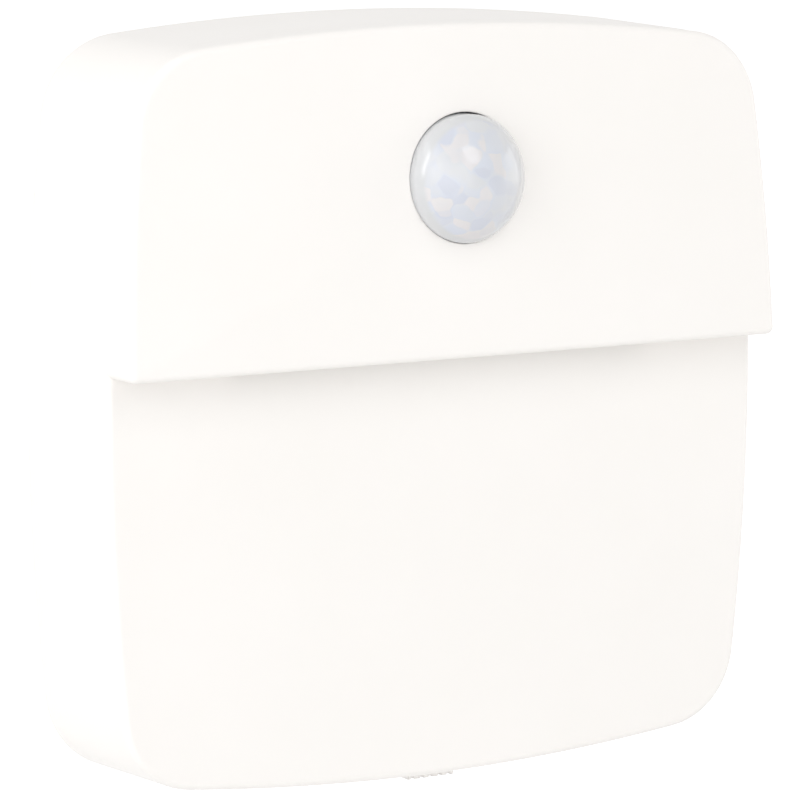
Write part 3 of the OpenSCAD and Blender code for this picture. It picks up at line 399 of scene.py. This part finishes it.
shell, dome, springs = make_shell(), make_dome(), make_springs()
red_lead, black_lead, switch_wires = make_leads()
for made, node, slot in ((shell, "front_shell", "white_abs"), (dome, "sensor_lens", "milky_lens"),
                         (springs, "battery_springs", "spring_wire"),
                         (red_lead, "battery_lead_red", "red_insulation"),
                         (black_lead, "battery_lead_black", "black_insulation"),
                         (switch_wires, "switch_leads", "white_insulation")):
    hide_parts(node)
    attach(made, "light")
for wire in (springs, red_lead, black_lead, switch_wires):
    wire.data.shade_smooth()
    wire.data.set_sharp_from_angle(angle=np.radians(60))


# Finishes

def linear(code):
    """An sRGB hex value as linear colour: up to 0.04045 it is divided by 12.92, above that it is
    ((c + 0.055) / 1.055) ^ 2.4."""
    c = np.array([int(code[i:i + 2], 16) for i in (1, 3, 5)]) / 255
    return (*np.where(c <= 0.04045, c / 12.92, ((c + 0.055) / 1.055) ** 2.4), 1.0)


def add(tree, kind, settings={}, inputs={}):
    """Adds a shader node with its settings. An input is a value, or the socket that feeds it."""
    node = tree.nodes.new("ShaderNode" + kind)
    for key, value in settings.items():
        setattr(node, key, value)
    for key, value in inputs.items():
        if isinstance(value, bpy.types.NodeSocket):
            tree.links.new(value, node.inputs[key])
        else:
            node.inputs[key].default_value = value
    return node


def material(name, **shader):
    """A material with its principled shader and the object's own coordinates."""
    made = bpy.data.materials.new(name)
    made.use_nodes = True
    tree = made.node_tree
    tree.nodes.clear()
    surface = add(tree, "BsdfPrincipled",
                  inputs={key.replace("_", " "): value for key, value in shader.items()})
    add(tree, "OutputMaterial", inputs={"Surface": surface.outputs[0]})
    place = add(tree, "TexCoord").outputs["Object"]
    return made, tree, surface, place


def per_mm(size):
    """Texture scale for a pattern whose cells are this many millimetres across."""
    return 1000 / size


def coat(tree, surface, colour, gloss_from, gloss, height, depth_mm, strength=1.0, edge_mm=0.0):
    """Links a surface's colour, its roughness between two values, and its relief. edge_mm rounds
    the look of sharp edges."""
    rough = add(tree, "MapRange",
                inputs={"Value": gloss_from, "To Min": gloss[0], "To Max": gloss[1]})
    tree.links.new(colour, surface.inputs["Base Color"])
    tree.links.new(rough.outputs[0], surface.inputs["Roughness"])
    relief = {"Height": height, "Strength": strength, "Distance": depth_mm / 1000}
    if edge_mm:
        relief["Normal"] = add(tree, "Bevel", {"samples": 4}, {"Radius": edge_mm / 1000}).outputs[0]
    tree.links.new(add(tree, "Bump", inputs=relief).outputs[0], surface.inputs["Normal"])


def grained(name, tones, gloss, drift_mm, grain_mm, depth_mm, strength=1.0, edge_mm=0.0,
            drawn=(1, 1, 1), **shader):
    """A material whose tone drifts in wide spots, and whose gloss and relief follow a finer grain.
    drawn below 1 stretches the grain along that axis."""
    made, tree, surface, place = material(name, **shader)
    along = add(tree, "Mapping", inputs={"Vector": place, "Scale": drawn}).outputs[0]
    drift = add(tree, "TexNoise", inputs={"Vector": place, "Scale": per_mm(drift_mm)}).outputs[0]
    grain = add(tree, "TexNoise", inputs={"Vector": along, "Scale": per_mm(grain_mm)}).outputs[0]
    tone = add(tree, "Mix", {"data_type": "RGBA"},
               {0: drift, 6: linear(tones[0]), 7: linear(tones[1])})
    coat(tree, surface, tone.outputs[2], grain, gloss, grain, depth_mm, strength, edge_mm)
    return made, tree, surface, place


def mark(tree, surface, value, limit, code, bare_metal=False):
    """Another colour, and bare metal if asked, where a value is past a limit."""
    there = add(tree, "Math", {"operation": "GREATER_THAN"}, {0: value, 1: limit}).outputs[0]
    before = surface.inputs["Base Color"].links[0].from_socket
    after = add(tree, "Mix", {"data_type": "RGBA"}, {0: there, 6: before, 7: linear(code)})
    tree.links.new(after.outputs[2], surface.inputs["Base Color"])
    if bare_metal:
        tree.links.new(there, surface.inputs["Metallic"])


def moulded_abs():
    """Injection-moulded ABS, warm white, with a fine spark-eroded grain: a soft sheen and no flat
    glare. The grain is 0.3 mm, somewhat coarser than real, so that it shows."""
    return grained("moulded_abs", ("#f4f1ee", "#f0ede9"), (0.38, 0.52), drift_mm=22, grain_mm=0.3,
                   depth_mm=0.02, strength=0.25, edge_mm=0.25, IOR=1.54)[0]


def milky_hdpe():
    """Thin milky HDPE lens, glossy outside: the lens cells behind its face show as soft many-sided
    patches 1.8 mm across, most of them bluish, a few darker or bright. They turn greyer to the
    right and lie inside a plain rim. Where they lie and how they turn grey is fitted to the
    photo; the cells are shifted so that a bright one sits under the high softbox's highlight, a
    painted highlight in part."""
    made, tree, surface, place = material("milky_hdpe", IOR=1.54, Subsurface_Weight=0.7,
                                          Subsurface_Scale=0.003, Subsurface_Radius=(1, 1, 1))
    bent = add(tree, "TexNoise", inputs={"Vector": place, "Scale": per_mm(3)}).outputs["Color"]
    # The cells are shifted so that a bright one sits under the high softbox's highlight: a painted
    # highlight in part.
    shifted_for_painted_highlight = add(tree, "Mapping", inputs={"Vector": place, "Location": (0.0152, -0.0165, 0.0042)})
    moved = add(tree, "VectorMath", {"operation": "MULTIPLY_ADD"},
                {0: bent, 1: (0.0012,) * 3, 2: shifted_for_painted_highlight.outputs[0]}).outputs[0]
    cells = add(tree, "TexVoronoi", {"feature": "SMOOTH_F1"},
                {"Vector": moved, "Scale": per_mm(1.8), "Smoothness": 0.5, "Randomness": 0.8})
    parts = add(tree, "SeparateColor", inputs={"Color": cells.outputs["Color"]})
    tone = add(tree, "Mix", {"data_type": "RGBA"},
               {0: parts.outputs[0], 6: linear("#dae0f0"), 7: linear("#e2e4e8")})
    for part, code in ((parts.outputs[2], "#d6dbeb"), (parts.outputs[1], "#e9e6e9")):
        few = add(tree, "MapRange", {"interpolation_type": "SMOOTHSTEP"},
                  {"Value": part, "From Min": 0.55, "From Max": 0.85})
        tone = add(tree, "Mix", {"data_type": "RGBA"},
                   {0: few.outputs[0], 6: tone.outputs[2], 7: linear(code)})
    spot = add(tree, "SeparateXYZ", inputs={"Vector": place})
    # Axis, the places in metres where the plainer tone sets in and is full, its most, its colour
    greyer_right = (0, -0.002, 0.006, 0.8, "#e2e2e2")
    plain_rim = (1, -0.0254, -0.0247, 1, "#dcdee1")
    for axis, start, end, most, code in (greyer_right, plain_rim):
        plain = add(tree, "MapRange", {"interpolation_type": "SMOOTHSTEP"},
                    {"Value": spot.outputs[axis], "From Min": start, "From Max": end,
                     "To Max": most})
        tone = add(tree, "Mix", {"data_type": "RGBA"},
                   {0: plain.outputs[0], 6: tone.outputs[2], 7: linear(code)})
    flow = add(tree, "TexNoise", inputs={"Vector": place, "Scale": per_mm(1.5)}).outputs[0]
    coat(tree, surface, tone.outputs[2], flow, (0.07, 0.1), parts.outputs[0], depth_mm=0.03,
         strength=0.2)
    return made


def frosted_acrylic():
    """Acrylic strip frosted on its face: it lets light through and blurs it, and looks matt
    white."""
    return grained("frosted_acrylic", ("#f2f1ec", "#e9e8e2"), (0.45, 0.65), drift_mm=6,
                   grain_mm=0.15, depth_mm=0.02, strength=0.4, edge_mm=0.15, IOR=1.49,
                   Transmission_Weight=0.35)[0]


def natural_nylon():
    """Uncoloured nylon ring, slightly cream and waxy."""
    return grained("natural_nylon", ("#dedbd0", "#e6e3da"), (0.3, 0.42), drift_mm=2.5, grain_mm=1.2,
                   depth_mm=0.02, strength=0.3, edge_mm=0.15, IOR=1.53, Subsurface_Weight=0.15,
                   Subsurface_Scale=0.001)[0]


def drawn_nickel():
    """Drawn and nickel-plated steel of the sensor's can and the switch housing: bright, with faint
    streaks of its rolling."""
    return grained("drawn_nickel", ("#b9bbbd", "#cbcdce"), (0.22, 0.4), drift_mm=3, grain_mm=0.4,
                   depth_mm=0.005, strength=0.3, edge_mm=0.1, drawn=(0.12, 1, 1), Metallic=1.0)[0]


def bright_zinc():
    """Zinc-plated steel screws with a faint blue cast."""
    return grained("bright_zinc", ("#a9adb3", "#c3c7cc"), (0.28, 0.46), drift_mm=3, grain_mm=0.3,
                   depth_mm=0.005, strength=0.3, edge_mm=0.1, drawn=(0.12, 1, 1), Metallic=1.0)[0]


def nickel_spring_steel():
    """Nickel-plated spring steel of contacts and springs, slightly warm, with fine roll marks."""
    return grained("nickel_spring_steel", ("#b7b5ad", "#cfcdc6"), (0.25, 0.43), drift_mm=3,
                   grain_mm=0.25, depth_mm=0.005, strength=0.3, edge_mm=0.1, drawn=(0.12, 1, 1),
                   Metallic=1.0)[0]


def coated_silicon():
    """The sensor's filter: polished silicon with a dark violet coating, nearly a mirror."""
    return grained("coated_silicon", ("#2d2634", "#3b3346"), (0.08, 0.14), drift_mm=1.2,
                   grain_mm=0.6, depth_mm=0.002, IOR=1.9, Coat_Weight=0.5)[0]


def solder_mask():
    """Glass-fibre board under green solder mask: copper tracks stand up as paler bands, and the cut
    edges are tan."""
    made, tree, surface, place = material("solder_mask", IOR=1.5)
    upright = add(tree, "Mapping", inputs={"Vector": place, "Rotation": (-np.pi / 2, 0, 0),
                                           "Scale": (per_mm(4),) * 3})
    tracks = add(tree, "TexBrick", {"offset": 0.35, "squash": 1.6, "squash_frequency": 3},
                 {"Vector": upright.outputs[0], "Scale": 1.0, "Mortar Size": 0.05,
                  "Mortar Smooth": 0.3}).outputs["Fac"]
    green = add(tree, "Mix", {"data_type": "RGBA"},
                {0: tracks, 6: linear("#2c6743"), 7: linear("#1f4f33")}).outputs[2]
    flow = add(tree, "TexNoise", inputs={"Vector": place, "Scale": per_mm(1)}).outputs[0]
    coat(tree, surface, green, flow, (0.22, 0.34), tracks, depth_mm=0.03, strength=0.5)
    normal = add(tree, "SeparateXYZ", inputs={"Vector": add(tree, "TexCoord").outputs["Normal"]})
    forward = normal.outputs[1]
    facing = add(tree, "Math", {"operation": "MULTIPLY"}, {0: forward, 1: forward}).outputs[0]
    edge = add(tree, "Math", {"operation": "SUBTRACT"}, {0: 1.0, 1: facing}).outputs[0]
    mark(tree, surface, edge, 0.75, "#b6a26c")
    return made


def moulded_polyamide():
    """White moulded polyamide bodies of the LEDs, satin, with the yellow phosphor that faces down
    to the window."""
    made, tree, surface, _ = grained("moulded_polyamide", ("#ecebe4", "#e4e3dc"), (0.3, 0.5),
                                     drift_mm=1, grain_mm=0.1, depth_mm=0.01, IOR=1.5)
    rise = add(tree, "SeparateXYZ", inputs={"Vector": add(tree, "TexCoord").outputs["Normal"]})
    down = add(tree, "Math", {"operation": "MULTIPLY"}, {0: rise.outputs[2], 1: -1.0}).outputs[0]
    mark(tree, surface, down, 0.5, "#e8c64a")
    return made


def moulded_epoxy():
    """Black moulded epoxy of chips, with a fine matt grain, and dull tin on the feet of the legs,
    in the gap between chip and board."""
    made, tree, surface, place = grained("moulded_epoxy", ("#232428", "#2a2b2f"), (0.45, 0.65),
                                         drift_mm=2, grain_mm=0.12, depth_mm=0.01, strength=0.4,
                                         edge_mm=0.08, IOR=1.55)
    depth = add(tree, "SeparateXYZ", inputs={"Vector": place}).outputs[1]
    front = add(tree, "Math", {"operation": "MULTIPLY"}, {0: depth, 1: -1.0}).outputs[0]
    mark(tree, surface, front, (BOARD_BACK - PLAY) / 1000, "#b9bab8")
    return made


def moulded_acetal():
    """Black moulded acetal of the switch slider and the light sensor: smooth, with faint wear."""
    return grained("moulded_acetal", ("#202124", "#2b2c30"), (0.25, 0.4), drift_mm=0.8,
                   grain_mm=0.8, depth_mm=0.004, edge_mm=0.08, IOR=1.5)[0]


def drawn_aluminium():
    """Drawn aluminium can of the capacitor, bare and satin, on its black base."""
    made, tree, surface, place = grained("drawn_aluminium", ("#1d1e20", "#232427"), (0.3, 0.45),
                                         drift_mm=1, grain_mm=0.3, depth_mm=0.004)
    depth = add(tree, "SeparateXYZ", inputs={"Vector": place}).outputs[1]
    mark(tree, surface, depth, -(BOARD_BACK - CAN_BASE_T) / 1000, "#c8cacc", bare_metal=True)
    return made


def shrunk_pvc():
    """Shrunk PVC film round a cell, blue-grey and satin, with bare nickel at both ends."""
    made, tree, surface, _ = grained("shrunk_pvc", ("#4f7f9e", "#5f91b0"), (0.24, 0.36), drift_mm=4,
                                     grain_mm=2, depth_mm=0.03, strength=0.3, edge_mm=0.3,
                                     drawn=(0.2, 1, 1), IOR=1.5)
    along = add(tree, "SeparateXYZ", inputs={"Vector": add(tree, "TexCoord").outputs["Normal"]})
    ends = add(tree, "Math", {"operation": "ABSOLUTE"}, {0: along.outputs[0]}).outputs[0]
    mark(tree, surface, ends, 0.7, "#c4c4be", bare_metal=True)
    return made


def closed_cell_foam():
    """White closed-cell foam tape: small cells pit its face, and the pits are painted darker in
    their hollows, as painted shade.
    """
    made, tree, surface, place = material("closed_cell_foam", IOR=1.45)
    cells = add(tree, "TexVoronoi", inputs={"Vector": place, "Scale": per_mm(0.5)})
    pits_and_painted_shade = cells.outputs["Distance"]
    # The tone is darker in the pits' hollows: painted shade.
    tone = add(tree, "Mix", {"data_type": "RGBA"},
               {0: pits_and_painted_shade, 6: linear("#cfcdc6"), 7: linear("#e2e0da")})
    coat(tree, surface, tone.outputs[2], pits_and_painted_shade, (0.8, 0.95), pits_and_painted_shade, depth_mm=0.1, strength=0.6)
    return made


def pvc_insulation(name, dark, light):
    """Soft PVC insulation of a lead: satin, with faint ripples from its extrusion."""
    return grained(name, (dark, light), (0.3, 0.42), drift_mm=2, grain_mm=0.6, depth_mm=0.01,
                   IOR=1.53)[0]


def dress(finish, *pieces):
    """Puts one finish on pieces or CAD nodes."""
    for obj in pieces:
        obj = nodes[obj] if isinstance(obj, str) else obj
        obj.data.materials.clear()
        obj.data.materials.append(finish)


dress(moulded_abs(), shell, "rear_cover", "battery_door", "wall_plate", "switch_button")
dress(milky_hdpe(), dome)
dress(frosted_acrylic(), "light_window")
dress(natural_nylon(), "lens_spacer")
dress(drawn_nickel(), "pir_sensor", "switch_housing")
dress(coated_silicon(), "pir_filter")
dress(solder_mask(), "main_board", "light_strip_board", "switch_board")
dress(moulded_polyamide(), "leds")
dress(moulded_epoxy(), "control_chip", "transistors", "chip_resistors")
dress(moulded_acetal(), "light_sensor", "switch_slider")
dress(drawn_aluminium(), "capacitor")
dress(bright_zinc(), "board_screws", "case_screws")
dress(nickel_spring_steel(), springs, "contact_positive", "contact_negative", "contact_link_right",
      "contact_link_left")
dress(shrunk_pvc(), "cell_1", "cell_2", "cell_3")
dress(closed_cell_foam(), "adhesive_pads")
dress(pvc_insulation("red_pvc", "#a92c28", "#bb3a33"), red_lead)
dress(pvc_insulation("black_pvc", "#232325", "#2f2f32"), black_lead)
dress(pvc_insulation("white_pvc", "#dedbd2", "#eae7df"), switch_wires)


# Stage, light and camera

# The floor in millimetres, and how bright it and the world are where white is 1
FLOOR_R, FLOOR_T, FLOOR_DROP, FLOOR_GLOW, WORLD_GLOW = 3000, 1, 45, 0.5, 0.67
# The camera solved on the photo: direction and roll in degrees, distance and aim in metres
CAMERA_TURN, CAMERA_RISE, CAMERA_ROLL = -31.946, 7.992, 0.118
CAMERA_AWAY, CAMERA_AIM = 0.51062, (-0.0004, -0.010, -0.00082 - PLATE_Y / 1000)
FOCAL_PX, PHOTO_PX, SENSOR_MM = 4509.68, 800, 36
bpy.context.scene.view_settings.view_transform = "Standard"


def seen_by(tree, *kinds):
    """1 for the kinds of ray that are named, and 0 for every other."""
    rays = add(tree, "LightPath").outputs
    seen = rays[kinds[0]]
    for kind in kinds[1:]:
        seen = add(tree, "Math", {"operation": "MAXIMUM"}, {0: seen, 1: rays[kind]}).outputs[0]
    return seen


def direction(turn, rise):
    """Unit vector out from the object at angles in degrees, round from the front and up."""
    turn, rise = np.radians((turn, rise))
    return Vector((np.sin(turn) * np.cos(rise), -np.cos(turn) * np.cos(rise), np.sin(rise)))


def make_floor():
    """Pale round floor below the hanging light, white to the camera but for its soft shadow."""
    points, faces = loft([flat(circle(FLOOR_R), -FLOOR_T), flat(circle(FLOOR_R), 0)])
    floor = bpy.data.objects.new("floor", bpy.data.meshes.new("floor"))
    floor.data.from_pydata(points / 1000 + (0, 0, cad_box[0].z - FLOOR_DROP / 1000), [], faces)
    bpy.context.scene.collection.objects.link(floor)
    made, tree, surface, _ = material("studio_paper", Base_Color=linear("#f4f4f4"), Roughness=0.9)
    seen = seen_by(tree, "Is Camera Ray", "Is Glossy Ray")
    glow = add(tree, "Emission", inputs={"Color": (1, 1, 1, 1), "Strength": FLOOR_GLOW})
    both = add(tree, "AddShader", inputs={0: surface.outputs[0], 1: glow.outputs[0]})
    lit = add(tree, "MixShader", inputs={0: seen, 1: surface.outputs[0], 2: both.outputs[0]})
    tree.links.new(lit.outputs[0], tree.nodes["Material Output"].inputs[0])
    dress(made, floor)


def make_world():
    """White to the camera, to gloss and through clear parts, and a plain soft light to everything
    else."""
    world = bpy.data.worlds.new("studio")
    bpy.context.scene.world = world
    world.use_nodes = True
    tree = world.node_tree
    tree.nodes.clear()
    seen = seen_by(tree, "Is Camera Ray", "Is Glossy Ray", "Is Transmission Ray")
    power = add(tree, "MapRange", inputs={"Value": seen, "To Min": WORLD_GLOW, "To Max": 1.0})
    sky = add(tree, "Background", inputs={"Color": (1, 1, 1, 1), "Strength": power.outputs[0]})
    add(tree, "OutputWorld", inputs={"Surface": sky.outputs[0]})


def softbox(name, turn, rise, away, width, height, glow, colour="#ffffff"):
    """Studio lamp that faces the object's middle from a direction. Its brightness is glow, where 1
    is white, so its power is glow times pi times its area."""
    back = direction(turn, rise)
    lamp = bpy.data.lights.new(name, "AREA")
    lamp.shape, lamp.size, lamp.size_y = "RECTANGLE", width, height
    lamp.energy, lamp.color = glow * np.pi * width * height, linear(colour)[:3]
    obj = bpy.data.objects.new(name, lamp)
    obj.location = (cad_box[0] + cad_box[1]) / 2 + away * back
    obj.rotation_euler = back.to_track_quat("Z", "Y").to_euler()
    bpy.context.scene.collection.objects.link(obj)


def make_camera():
    """The photograph's view: from the left and a little above, at half a metre, through a long
    lens."""
    back, roll = direction(CAMERA_TURN, CAMERA_RISE), np.radians(CAMERA_ROLL)
    right = (-back).cross(Vector((0, 0, 1))).normalized()
    up = right.cross(-back)
    right, up = (np.cos(roll) * right + np.sin(roll) * up,
                 np.cos(roll) * up - np.sin(roll) * right)
    camera = bpy.data.objects.new("camera", bpy.data.cameras.new("camera"))
    camera.data.lens = SENSOR_MM * FOCAL_PX / PHOTO_PX
    camera.data.sensor_width = SENSOR_MM
    camera.data.clip_start = 0.01
    spot = Vector(CAMERA_AIM) + CAMERA_AWAY * back
    camera.matrix_world = Matrix.Translation(spot) @ Matrix((right, up, back)).transposed().to_4x4()
    bpy.context.scene.collection.objects.link(camera)
    bpy.context.scene.camera = camera


make_floor()
make_world()
# Name, turn and rise in degrees, distance, width and height in metres, glow and colour
softbox("front_softbox", -40, 8, 0.75, 1.0, 0.58, 1.0)
softbox("left_softbox", -84, 24, 0.85, 0.8, 0.8, 0.8)
softbox("side_strip", -89, 25, 0.7, 0.08, 0.44, 3.6)
softbox("high_softbox", 0, 43, 1.0, 0.42, 0.52, 1.9)
softbox("top_softbox", -160, 60, 0.8, 0.5, 0.5, 0.2, "#f2f5ff")
softbox("right_softbox", 75, 5, 1.0, 0.7, 0.7, 1.2)
make_camera()
